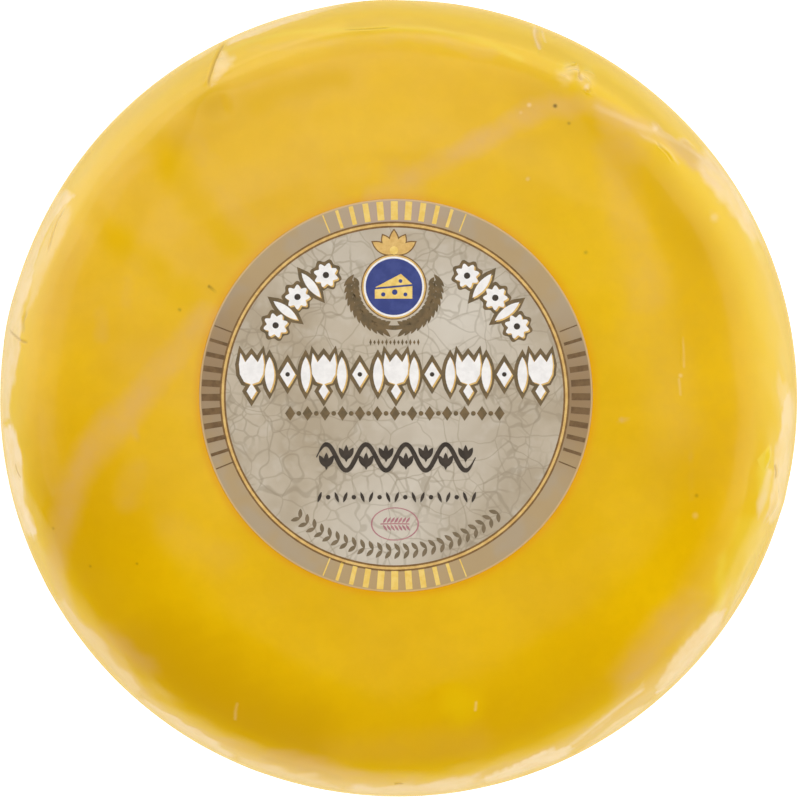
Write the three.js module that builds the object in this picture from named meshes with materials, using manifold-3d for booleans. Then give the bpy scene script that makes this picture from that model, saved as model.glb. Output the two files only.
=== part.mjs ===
// Baby gouda: a small whole cheese in a smooth yellow coating, with a round paper label on its top.
// Millimetres, +Z up. The origin is the middle of the flat spot that the cheese rests on.
// Seen from above, +Y is the label's top and +X its right.

import * as THREE from 'three';
import { mergeVertices } from 'three/addons/utils/BufferGeometryUtils.js';
import Module from 'manifold-3d';

// Driving dimensions of the cheese
const WHEEL_RADIUS = 52.5;
const WHEEL_HEIGHT = 52;
const ACROSS_POWER = 5.5; // the higher, the flatter the two faces
const UPRIGHT_POWER = 2.8; // 2 is a round side, higher is a straighter one
const FOOT_CUT = 0.3; // how deep the resting flat cuts into the round underside
const HALF_HEIGHT = (WHEEL_HEIGHT + FOOT_CUT) / 2;
const MIDDLE_Z = HALF_HEIGHT - FOOT_CUT;

// Fineness of the solids
const WHEEL_SEGMENTS = 88;
const UPPER_RINGS = 26;
const LOWER_RINGS = 13;
const PROFILE_SAMPLES = 240;

// The line that the cheese mould's rim left round the top and the bottom shoulder
const RIDGE_RADIUS = 48.6;
const RIDGE_WIDTH = 1.4;
const RIDGE_HEIGHT = 0.22;
const RIDGE_FAINTEST = 0.35; // its share of the full height away from the label's top side
const RIDGE_STRONG_TOWARDS = THREE.MathUtils.degToRad(94);

// Slow unevenness of the hand-turned cheese, as waves round its axis
const WAVES = [
  { count: 2, height: 0.08, turn: 0.6 },
  { count: 3, height: 0.07, turn: 2.1 },
  { count: 7, height: 0.05, turn: 4.4 },
];

// Soft dents (negative height) and swellings in the upper side, by place and reach
const SWELLINGS = [
  { name: 'round dent', x: 7.0, y: -40.4, reach: 3.6, height: -0.35 },
  { name: 'dent by the crack', x: -23.6, y: 38.2, reach: 2.6, height: -0.3 },
  { name: 'lower facet', x: 37.4, y: -32.0, reach: 6.5, height: -0.45 },
  { name: 'outer facet', x: 31.0, y: -39.6, reach: 5.0, height: -0.3 },
  { name: 'fold by the facets', x: 41.4, y: -26.2, reach: 3.0, height: 0.3 },
  { name: 'rim swelling', x: 49.4, y: -13.4, reach: 3.4, height: 0.35 },
  { name: 'crumpled patch', x: 23.6, y: 42.0, reach: 3.2, height: 0.25 },
];

// Creases and cracks in the coating, as points over the upper side
const CREASE_RADIUS = 0.34;
const CREASE_SIDES = 6;
const CREASE_STEPS_PER_POINT = 4;
const CREASES = [
  { name: 'long crack', points: [[-22.2, 46.6], [-23.9, 44.6], [-24.9, 42.6], [-24.7, 40.9]] },
  { name: 'left crease', points: [[-43.3, 25.4], [-44.6, 23.6], [-45.4, 21.8], [-46.0, 18.1]] },
  { name: 'short crack', points: [[-50.6, 9.2], [-49.8, 8.2], [-48.6, 7.2]] },
  { name: 'slot', points: [[-49.0, 11.5], [-49.3, 10.0], [-49.4, 8.5]] },
  { name: 'right notch', points: [[49.4, -7.6], [49.8, -9.4], [49.4, -11.2]] },
  { name: 'flap edge', points: [[34.1, 33.9], [35.2, 32.4], [36.3, 30.6]] },
];

// Flakes of coating that stand proud: half length, half width and height, and the length's direction
const FLAKE_DETAIL = 1;
const FLAKES = [
  { name: 'crack flap', x: -23.2, y: 43.9, size: [2.1, 0.9, 0.35], turn: 118 },
  { name: 'crumple one', x: 22.8, y: 42.6, size: [1.5, 0.7, 0.4], turn: 35 },
  { name: 'crumple two', x: 24.6, y: 41.4, size: [1.3, 0.6, 0.35], turn: 110 },
  { name: 'right flake', x: 48.3, y: -7.6, size: [1.8, 0.8, 0.4], turn: 70 },
  { name: 'right lump', x: 49.0, y: -13.6, size: [2.9, 0.9, 0.35], turn: 85 },
];

// The label
const LABEL_RADIUS = 25.7;
const LABEL_X = -0.33;
const LABEL_Y = 0.4;
const LABEL_THICKNESS = 0.2;
const LABEL_GAP = 0.1; // the film of glue under the paper
const LABEL_SEGMENTS = 72;
const LABEL_RINGS = 5;

const wasm = await Module();
wasm.setup();

// Height over the cheese's middle plane of its plain form, at a distance from the axis
function plainHeight(radius) {
  const share = Math.min(radius / WHEEL_RADIUS, 1);
  return HALF_HEIGHT * (1 - share ** ACROSS_POWER) ** (1 / UPRIGHT_POWER);
}

// Outward direction of the plain form at a point
function outward(x, y, z) {
  const radius = Math.hypot(x, y);
  const rise = z - MIDDLE_Z;
  const across = (ACROSS_POWER / WHEEL_RADIUS) * (radius / WHEEL_RADIUS) ** (ACROSS_POWER - 1);
  const up = (UPRIGHT_POWER / HALF_HEIGHT) * (Math.abs(rise) / HALF_HEIGHT) ** (UPRIGHT_POWER - 1);
  const share = radius > 0 ? across / radius : 0;
  return new THREE.Vector3(x * share, y * share, Math.sign(rise) * up).normalize();
}

// A hump that is 1 at its middle and fades to 0, smoothly, at its reach
function hump(distance, reach) {
  const share = distance / reach;
  return share < 1 ? (1 - share * share) ** 2 : 0;
}

function ridgeRelief(radius, angle) {
  const towards = (1 + Math.cos(angle - RIDGE_STRONG_TOWARDS)) / 2;
  const strength = RIDGE_FAINTEST + (1 - RIDGE_FAINTEST) * towards ** 6;
  return RIDGE_HEIGHT * strength * hump(Math.abs(radius - RIDGE_RADIUS), RIDGE_WIDTH / 2);
}

function waveRelief(radius, angle) {
  const away = THREE.MathUtils.smoothstep(radius, LABEL_RADIUS, WHEEL_RADIUS * 0.8);
  return WAVES.reduce((sum, wave) => sum + away * wave.height * Math.sin(wave.count * angle + wave.turn), 0);
}

function swellingRelief(x, y) {
  return SWELLINGS.reduce((sum, spot) => sum + spot.height * hump(Math.hypot(x - spot.x, y - spot.y), spot.reach), 0);
}

// How far the real surface stands outside the plain form
function relief(x, y, z) {
  const radius = Math.hypot(x, y);
  const angle = Math.atan2(y, x);
  const upper = z > MIDDLE_Z ? swellingRelief(x, y) : 0;
  return ridgeRelief(radius, angle) + waveRelief(radius, angle) + upper;
}

// The point of the real surface for a point of the plain form, no lower than the resting flat
function onSurface(x, y, z) {
  const place = new THREE.Vector3(x, y, z);
  place.addScaledVector(outward(x, y, z), relief(x, y, z));
  place.z = Math.max(place.z, 0);
  return place;
}

function onTop(x, y) {
  return onSurface(x, y, MIDDLE_Z + plainHeight(Math.hypot(x, y)));
}

// Evenly spaced points of one quarter of the profile, from the axis to the widest place
function quarterProfile(count) {
  const fine = [];
  for (let i = 0; i <= PROFILE_SAMPLES; i += 1) {
    const angle = (i / PROFILE_SAMPLES) * (Math.PI / 2);
    const radius = WHEEL_RADIUS * Math.sin(angle) ** (2 / ACROSS_POWER);
    fine.push(new THREE.Vector2(radius, plainHeight(radius)));
  }
  return new THREE.SplineCurve(fine).getSpacedPoints(count);
}

// The quarter with rings of its own for the mould line, given from the axis outwards
function ridgedQuarter(count) {
  const plain = quarterProfile(count).filter((point) => Math.abs(point.x - RIDGE_RADIUS) > RIDGE_WIDTH * 0.8);
  const line = [-0.5, 0, 0.5].map((side) => {
    const radius = RIDGE_RADIUS + side * RIDGE_WIDTH;
    return new THREE.Vector2(radius, plainHeight(radius));
  });
  return [...plain, ...line].sort((a, b) => a.x - b.x);
}

function wheelProfile() {
  const foot = ridgedQuarter(LOWER_RINGS).map((point) => new THREE.Vector2(point.x, MIDDLE_Z - point.y));
  const crown = ridgedQuarter(UPPER_RINGS).map((point) => new THREE.Vector2(point.x, MIDDLE_Z + point.y));
  const outline = [...foot, ...crown.reverse().slice(1)];
  outline[0].x = 0;
  outline[outline.length - 1].x = 0;
  return outline;
}

// Joins equal vertices and leaves out the triangles that have no area
function welded(geometry) {
  geometry.deleteAttribute('normal');
  geometry.deleteAttribute('uv');
  const merged = mergeVertices(geometry, 1e-4);
  const kept = [];
  for (let i = 0; i < merged.index.count; i += 3) {
    const [a, b, c] = [0, 1, 2].map((corner) => merged.index.getX(i + corner));
    if (a !== b && b !== c && c !== a) kept.push(a, b, c);
  }
  merged.setIndex(kept);
  return merged;
}

function toManifold(geometry) {
  return new wasm.Manifold(new wasm.Mesh({
    numProp: 3,
    vertProperties: new Float32Array(geometry.attributes.position.array),
    triVerts: new Uint32Array(geometry.index.array),
  }));
}

function fromManifold(solid) {
  const mesh = solid.getMesh();
  const geometry = new THREE.BufferGeometry();
  geometry.setAttribute('position', new THREE.BufferAttribute(mesh.vertProperties, 3));
  geometry.setIndex(new THREE.BufferAttribute(mesh.triVerts, 1));
  geometry.computeVertexNormals();
  return geometry;
}

function wheelForm() {
  const turned = new THREE.LatheGeometry(wheelProfile(), WHEEL_SEGMENTS).rotateX(Math.PI / 2);
  const geometry = welded(turned);
  const place = geometry.attributes.position;
  for (let i = 0; i < place.count; i += 1) {
    const moved = onSurface(place.getX(i), place.getY(i), place.getZ(i));
    place.setXYZ(i, moved.x, moved.y, moved.z);
  }
  return geometry;
}

// A round bar along the crease's line on the surface, which cuts a groove half its thickness deep
function creaseCutter(points) {
  const path = new THREE.CatmullRomCurve3(points.map(([x, y]) => onTop(x, y)));
  const section = new THREE.Shape();
  for (let i = 0; i < CREASE_SIDES; i += 1) {
    const angle = (i / CREASE_SIDES) * 2 * Math.PI;
    const [x, y] = [CREASE_RADIUS * Math.cos(angle), CREASE_RADIUS * Math.sin(angle)];
    if (i === 0) section.moveTo(x, y);
    else section.lineTo(x, y);
  }
  section.closePath();
  const steps = CREASE_STEPS_PER_POINT * (points.length - 1);
  return welded(new THREE.ExtrudeGeometry(section, { steps, extrudePath: path }));
}

// A flat-topped pebble sunk half into the surface
function flakeForm({ x, y, size, turn }) {
  const [halfLength, halfWidth, height] = size;
  const place = onTop(x, y);
  const up = outward(place.x, place.y, place.z);
  const direction = THREE.MathUtils.degToRad(turn);
  const along = new THREE.Vector3(Math.cos(direction), Math.sin(direction), 0).projectOnPlane(up).normalize();
  const across = new THREE.Vector3().crossVectors(up, along);
  const stand = new THREE.Matrix4().makeBasis(along, across, up).setPosition(place);
  const pebble = new THREE.IcosahedronGeometry(1, FLAKE_DETAIL).scale(halfLength, halfWidth, height);
  return welded(pebble.applyMatrix4(stand));
}

function buildWheel() {
  let solid = toManifold(wheelForm());
  for (const flake of FLAKES) solid = solid.add(toManifold(flakeForm(flake)));
  for (const crease of CREASES) solid = solid.subtract(toManifold(creaseCutter(crease.points)));
  const coating = new THREE.MeshStandardMaterial({ color: 0xe2b02a, roughness: 0.35, metalness: 0 });
  const wheel = new THREE.Mesh(fromManifold(solid), coating);
  wheel.name = 'cheese_wheel';
  return wheel;
}

// A thin disc whose two faces follow the top of the cheese
function buildLabel() {
  const bottom = WHEEL_HEIGHT;
  const outline = [new THREE.Vector2(0, bottom)];
  for (let i = 1; i <= LABEL_RINGS; i += 1) {
    outline.push(new THREE.Vector2((LABEL_RADIUS * i) / LABEL_RINGS, bottom));
  }
  const upperFace = outline.map((point) => new THREE.Vector2(point.x, bottom + LABEL_THICKNESS)).reverse();
  const geometry = welded(new THREE.LatheGeometry([...outline, ...upperFace], LABEL_SEGMENTS).rotateX(Math.PI / 2));
  const place = geometry.attributes.position;
  for (let i = 0; i < place.count; i += 1) {
    const [x, y] = [place.getX(i) + LABEL_X, place.getY(i) + LABEL_Y];
    const layer = place.getZ(i) - bottom;
    place.setXYZ(i, x, y, onTop(x, y).z + LABEL_GAP + layer);
  }
  geometry.computeVertexNormals();
  const paper = new THREE.MeshStandardMaterial({ color: 0xb9a888, roughness: 0.6, metalness: 0 });
  const label = new THREE.Mesh(geometry, paper);
  label.name = 'label';
  return label;
}

const cheese = new THREE.Group();
cheese.add(buildWheel(), buildLabel());

export default cheese;
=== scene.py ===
import math

import bmesh
import bpy
import numpy as np
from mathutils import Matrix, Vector
from mathutils.geometry import tessellate_polygon


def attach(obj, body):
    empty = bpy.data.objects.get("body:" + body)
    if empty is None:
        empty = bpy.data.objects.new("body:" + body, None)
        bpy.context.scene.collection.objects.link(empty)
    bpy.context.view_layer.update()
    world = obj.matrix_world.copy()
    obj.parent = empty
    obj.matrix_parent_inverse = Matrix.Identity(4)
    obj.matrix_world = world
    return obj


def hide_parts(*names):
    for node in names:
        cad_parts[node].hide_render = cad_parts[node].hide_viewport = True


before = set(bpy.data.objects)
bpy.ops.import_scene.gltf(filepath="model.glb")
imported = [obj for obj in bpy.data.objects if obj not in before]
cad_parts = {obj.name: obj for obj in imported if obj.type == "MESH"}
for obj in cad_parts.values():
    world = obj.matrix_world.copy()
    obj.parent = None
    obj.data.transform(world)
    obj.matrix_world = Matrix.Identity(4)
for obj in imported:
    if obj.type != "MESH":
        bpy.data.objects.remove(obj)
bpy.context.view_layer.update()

MM = 0.001

# The cheese's form, as in the solid
WHEEL_RADIUS = 52.5
WHEEL_HEIGHT = 52.0
ACROSS_POWER = 5.5
UPRIGHT_POWER = 2.8
FOOT_CUT = 0.3
HALF_HEIGHT = (WHEEL_HEIGHT + FOOT_CUT) / 2
MIDDLE_Z = HALF_HEIGHT - FOOT_CUT
WAVES = [(2, 0.04, 0.6), (3, 0.035, 2.1), (7, 0.02, 4.4)]
RIDGE_RADIUS = 48.6
RIDGE_WIDTH = 1.4
RIDGE_HEIGHT = 0.1
RIDGE_FAINTEST = 0.05
RIDGE_STRONG_TOWARDS = math.radians(94)

# The label's place and thickness, as in the solid
LABEL_RADIUS = 25.7
LABEL_X = -0.33
LABEL_Y = 0.4
LABEL_TOP = 0.3  # height of its upper face over the cheese
LABEL_SINK = 0.03  # how far its lower face sits in the coating
LABEL_RINGS = 40
LABEL_SEGMENTS = 240
EDGE_ROUNDING = 0.08
EDGE_STEP = 0.02

# Fineness of the cheese's mesh
WHEEL_SEGMENTS = 400
UPPER_RINGS = 104
LOWER_RINGS = 44
FINE_REACH = 1.1  # of the finer mesh beside a detail
FINE_LEVELS = 2
NEWTON_STEPS = 8  # to bring a point onto the form
STEPS_PER_SPAN = 6  # of a smooth line through given points

# Slow unevenness of the coating: many weak waves of random direction
UNEVEN_COUNT = 18
UNEVEN_LENGTHS = (9.0, 28.0)
UNEVEN_SLOPE = 0.011
UNEVEN_UNDER_LABEL = 0.15
UNEVEN_SEED = 7
QUIET_BELOW = 2.0  # height over the widest place below which the outline stays round
QUIET_ABOVE = 9.0

# Crinkles of the coating along the rim: counts round the wheel, lengths across the rim, slope
CRINKLE_COUNT = 14
CRINKLE_TURNS = (16, 60)
CRINKLE_LENGTHS = (3.0, 7.5)
CRINKLE_SLOPE = 0.02
CRINKLE_FROM = 44.5
CRINKLE_FULL = 49.0
CRINKLE_CALM_TOWARDS = math.radians(85)
CRINKLE_CALM_REACH = math.radians(115)
CRINKLE_SEED = 23

# Soft dents and swellings of the upper side: place, reach and height
SWELLINGS = [
    ("round dent", 7.0, -40.4, 3.6, -0.35),
    ("dent by the crack", -23.6, 38.2, 2.6, -0.3),
    ("lower facet", 36.4, -31.0, 6.5, -0.3),
    ("outer facet", 30.0, -38.6, 5.0, -0.2),
    ("fold by the facets", 41.4, -26.2, 3.0, 0.3),
    ("rim swelling", 49.4, -13.4, 3.4, 0.35),
    ("crumpled patch", 23.6, 42.0, 3.2, 0.25),
]

# Fine lines in the coating: points seen from above, half width, depth, raised lip beside it, and darkness of
# the painted shade in it
CREASES = [
    ("long crack", [(-22.7, 47.0), (-23.3, 46.0), (-24.1, 44.2), (-24.5, 42.9), (-24.8, 41.7), (-24.8, 40.7)],
     0.27, 0.18, 0.08, 0.5),
    ("left crease", [(-43.7, 25.3), (-45.0, 23.1), (-45.7, 20.9), (-46.1, 19.0)], 0.34, 0.08, 0.04, 0.28),
    ("short crack", [(-51.1, 9.1), (-50.4, 8.3), (-49.5, 7.6), (-48.6, 7.3)], 0.22, 0.14, 0.05, 0.5),
    ("slot", [(-48.8, 11.5), (-49.3, 10.0), (-49.2, 8.5)], 0.6, 0.1, 0.03, 0.25),
    ("right notch", [(49.3, -8.6), (49.5, -9.6), (49.4, -10.6)], 0.32, 0.15, 0.05, 0.4),
    ("flap edge", [(33.8, 33.8), (34.3, 33.0), (35.2, 32.1), (36.0, 30.8)], 0.24, 0.04, 0.04, 0.12),
    ("crumple line", [(23.6, 42.8), (23.6, 42.1), (24.0, 41.5)], 0.2, 0.16, 0.1, 0.4),
    ("crumple fold", [(21.6, 43.2), (22.6, 43.6), (23.4, 43.4)], 0.2, 0.12, 0.12, 0.15),
    ("crumple end", [(24.2, 40.6), (24.8, 40.2), (25.2, 40.6)], 0.2, 0.12, 0.12, 0.2),
    ("mould line", [(-7.5, 48.3), (-5.1, 48.3), (-2.6, 48.4), (-0.9, 48.5)], 0.16, 0.06, 0.0, 0.45),
    ("upper crinkle", [(18.2, 49.0), (18.0, 47.8), (18.3, 46.5), (18.6, 44.8)], 0.3, 0.07, 0.08, 0.05),
    ("left speck line", [(-50.1, -8.5), (-49.8, -9.6), (-49.4, -10.4)], 0.2, 0.12, 0.04, 0.6),
    ("bottom tick", [(-0.6, -50.4), (0.1, -50.3), (0.7, -50.4)], 0.18, 0.12, 0.04, 0.5),
    ("scratch", [(37.0, 8.2), (37.1, 6.5), (37.0, 5.0), (37.2, 3.9)], 0.14, 0.06, 0.0, 0.0),
]

# Flakes that stand proud: place, half length, half width, height, and the length's direction
FLAKES = [
    ("crack flap", -23.2, 43.9, 2.1, 0.9, 0.28, 118),
    ("crumple one", 22.8, 42.6, 1.5, 0.7, 0.35, 35),
    ("crumple two", 24.6, 41.4, 1.3, 0.6, 0.3, 110),
    ("crumple three", 23.2, 43.6, 1.0, 0.5, 0.3, 75),
    ("crumple four", 24.9, 42.6, 1.1, 0.5, 0.25, 20),
    ("crumple five", 21.6, 42.0, 1.0, 0.6, 0.2, 150),
    ("right flake", 48.3, -7.6, 1.8, 0.8, 0.4, 70),
    ("right lump", 49.0, -13.6, 2.9, 0.9, 0.35, 85),
]

# Lines that more than one mark follows
UPPER_STRIPE = [(-32.3, 34.2), (-29.4, 30), (-25.2, 24.4), (-21.7, 20.4)]
LOWER_STRIPE = [(-41.3, 24.6), (-36.2, 20.3), (-31.5, 16.2), (-27.6, 13.5)]
TOP_BAND = [(-18.9, 39.3), (-12.7, 41.5), (-8, 42.4)]
MOULD_LINE = [(-22.1, 45.8), (-19.5, 46.9), (-14.3, 48), (-9, 48.3), (-0.6, 48.4), (4.1, 48.3), (8.7, 47.6)]

# Colour marks as lines over the upper side, by mask: points, half width, strength
LINE_MARKS = {
    "bloom": [
        ([(-3, 26.2), (1, 28.4), (5.9, 30.8), (13, 34.9), (17.8, 37.8)], 2.9, 0.66),
        ([(17, 37.2), (20.5, 38.3), (24, 38.4), (29.3, 36.8)], 2.6, 0.5),
        ([(26.5, 37.8), (33, 35), (37, 32.8), (41.6, 30.2), (44.9, 28.2)], 2.8, 0.9),
        ([(-25, 10.5), (-29.2, 5.6), (-32.1, 2.1), (-35.1, -1.6), (-37.6, -4), (-40.3, -6.8)], 3.6, 0.62),
        ([(-37.4, -3.7), (-40.3, -6.6), (-42.1, -10.7), (-43.5, -14.2), (-44.4, -17.8), (-45, -22.4),
          (-43.5, -26.5)], 3.2, 0.55),
        ([(-29, -17), (-23, -20.5)], 4.5, 0.12),
        ([(-34.4, -2.8), (-34.4, -5.1)], 0.7, 0.45),
        ([(-34.9, -9.5), (-35.4, -13)], 3.2, 0.22),
        ([(-39.3, 11.3), (-39.3, 7.4)], 2.6, 0.3),
        ([(-35.6, 15.7), (-35.6, 13.1)], 2.2, 0.28),
        ([(29, 29.5), (31, 20), (33, 13)], 4.6, 0.3),
        ([(32, 19), (35, 8), (37.5, -4)], 7.5, 0.16),
        ([(38.4, -27.2), (36.4, -29.8)], 3.6, 0.35),
        ([(36.4, -29.8), (33.8, -33.2), (30.8, -36.7)], 3.8, 0.66),
        ([(-20.2, -45.7), (-11.5, -48.8)], 2.4, 0.5),
        ([(-38, -31), (-33, -35)], 3, 0.45),
        ([(-33, 30), (-25, 17)], 3.4, 0.15),
        ([(-27, 34), (-18, 21)], 3.6, 0.3),
        ([(-6, 31), (2, 30.5)], 7, 0.2),
        ([(18.1, 48.6), (18.3, 46.3)], 0.8, 0.7),
        ([(37.9, -1), (38.4, -13)], 0.8, 0.12),
        ([(33, 22), (40, 8), (40, -6)], 12, 0.09),
        ([(38.2, -6), (38, -8.3)], 0.5, 0.3),
        ([(-8, -46), (10, -45)], 4, 0.08),
        ([(-19.5, 46), (-13, 46.8), (-6.4, 47.1), (4, 47.1), (12, 45.2)], 2.2, 0.35),
    ],
    # Painted highlights along scratches, flakes, folds and the dent, and painted reflections along the rim,
    # over pale flakes of the coating
    "cream": [
        ([(37.3, 8), (37.3, 4)], 0.24, 0.22),
        ([(36.6, 2.4), (36.8, 0.4)], 0.24, 0.24),
        ([(10.1, -39.8), (10, -40.8)], 0.28, 0.4),
        ([(-21.2, -39.9), (-21.4, -40.9), (-21.4, -42)], 0.3, 0.22),
        ([(26.2, 38.1), (31.8, 35.7), (36.5, 33.8), (39.5, 31.8)], 0.8, 0.3),
        ([(39.5, 31.8), (43.7, 27.8), (48.3, 20.2)], 0.7, 0.6),
        ([(31.8, 34.6), (35.2, 32.6), (36.4, 31.2)], 0.5, 0.25),
        ([(17.9, 49.2), (18, 47.5), (18.4, 46)], 0.3, 0.7),
        ([(19, 48.4), (19.3, 46.8)], 0.3, 0.5),
        ([(31.8, -38.4), (27.5, -41.7), (23, -45.3)], 0.8, 0.6),
    ],
    "clear": [
        (UPPER_STRIPE, 3.4, 0.9),
        (LOWER_STRIPE, 3.4, 0.85),
        ([(35.5, 26.2), (36.2, 18.3)], 2.6, 0.8),
        (TOP_BAND, 3, 0.7),
    ],
    # Deeper yellow: the coating's own deeper tone along the clear stripes and elsewhere, and painted shade:
    # darker towards the lower front, where the light falls off, in the mould line's groove, and on the shaded
    # side of the round dent
    "deep": [
        (UPPER_STRIPE, 2.8, 0.22),
        (LOWER_STRIPE, 3, 0.18),
        (TOP_BAND, 3.2, 0.45),
        ([(17, 33), (24, 35), (32, 30)], 4, 0.25),
        ([(39, 20), (33, 29), (26, 35), (19, 39.5)], 6, 0.5),
        ([(-14, 41), (-22, 38), (-28.5, 33.5)], 4.5, 0.4),
        ([(-43.7, -15.9), (-38.1, -26.7), (-23.3, -40.3), (0, -46.5), (23.3, -40.3)], 14, 0.6),
        ([(-32.3, -33.4), (-23.3, -40.3), (-12.8, -44.7)], 13, 0.95),
        ([(4.9, -38.3), (4.4, -40.3), (5.5, -42.5), (7.4, -43.6), (9.4, -43.2)], 1.8, 0.4),
        (MOULD_LINE, 0.9, 0.35),
    ],
    # Painted shade in broad lines along the top of the rim and near the bottom
    "crease": [
        ([(38.5, 31.5), (31.6, 38.3), (21.5, 44.9), (12, 48.1), (0, 49.3), (-6, 49)], 2.6, 0.14),
        ([(-17.2, -47.3), (-12.2, -48.8), (-7.9, -49.7)], 1.3, 0.12),
    ],
    "yellow": [
        (MOULD_LINE + [(12.7, 46.3), (16, 44.5)], 0.9, 0.6),
        ([(42.3, -21), (42, -27.3)], 1.8, 0.7),
        ([(45, 22.5), (47.5, 19)], 2.2, 0.5),
    ],
}

# Colour marks as soft round places, by mask: place, reach, strength
ROUND_MARKS = {
    # Painted shadow below the long crack's end and beside the crumpled patch, with deeper tone elsewhere
    "deep": [
        (-24.4, 38.8, 4.6, 0.75), (21.1, 40.4, 3.4, 0.5), (36.5, -9, 9, 0.25), (20.1, 45.2, 4, 0.3),
        (32.7, 35.1, 5, 0.3), (-45.5, -6, 7, 0.2),
    ],
    "clear": [
        (-24.4, 38.8, 4.5, 0.9), (-46.5, 1, 5, 0.9),
    ],
    # Painted light in the middle of the round dent
    "lemon": [
        (8.2, -40.2, 4.2, 0.45),
    ],
    "bloom": [
        (29.1, 32.7, 5, 0.45), (-37, 14, 8, 0.2), (28, 36, 3.5, 0.5), (0.5, 28, 6, 0.5),
        (29.2, -2.8, 0.6, 0.9),
    ],
    # Painted highlights on the crumpled flakes and small lumps
    "cream": [
        (23.1, 42.9, 0.8, 0.8), (23.9, 41.9, 0.9, 0.8), (24.6, 40.8, 0.6, 0.8), (22.2, 42.4, 1.6, 0.5),
        (24.8, 41.8, 1.8, 0.4), (17.1, 38.4, 0.45, 0.6), (16, 37.4, 0.35, 0.3), (16.9, 28.7, 0.4, 0.35),
        (41.3, 23.7, 0.8, 0.35), (33.7, 35.4, 0.8, 0.7), (36.9, 3, 0.4, 0.4), (38.8, -15.3, 0.6, 0.2),
    ],
    "yellow": [
        (22, 43.4, 1.3, 0.7), (24.6, 43.2, 1.5, 0.6),
    ],
    "speck": [
        (20.5, 38.3, 0.42, 1), (22.3, 36, 0.35, 0.5), (24.5, 19.1, 0.4, 0.4), (-24.7, 14.6, 0.34, 0.8),
        (-28.6, 11.6, 0.34, 0.5), (-40.4, -22, 0.28, 0.4), (-34.2, -21.6, 0.26, 0.5), (39, -12.7, 0.4, 0.4),
        (-45.2, -17, 0.28, 0.35),
    ],
}

# Colour marks as patches with sharp edges, by mask: corners seen from above, softness of the edge, strength
PATCH_MARKS = {
    # Painted highlights on the flap of the long crack and on the right lump
    "cream": [
        ([(-23, 45.7), (-21.6, 44.6), (-22.5, 43), (-24.4, 40.9), (-24.1, 43.4)], 0.3, 0.6),
        ([(48.4, -9.3), (46.7, -13.9), (47.1, -15.4), (47.9, -13.3), (48.9, -9.6)], 0.3, 0.6),
    ],
    "yellow": [
        ([(47, -7.9), (48.5, -6.1), (48.9, -7.3), (48.4, -9.4), (47.7, -9.8)], 0.15, 1),
    ],
}

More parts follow.
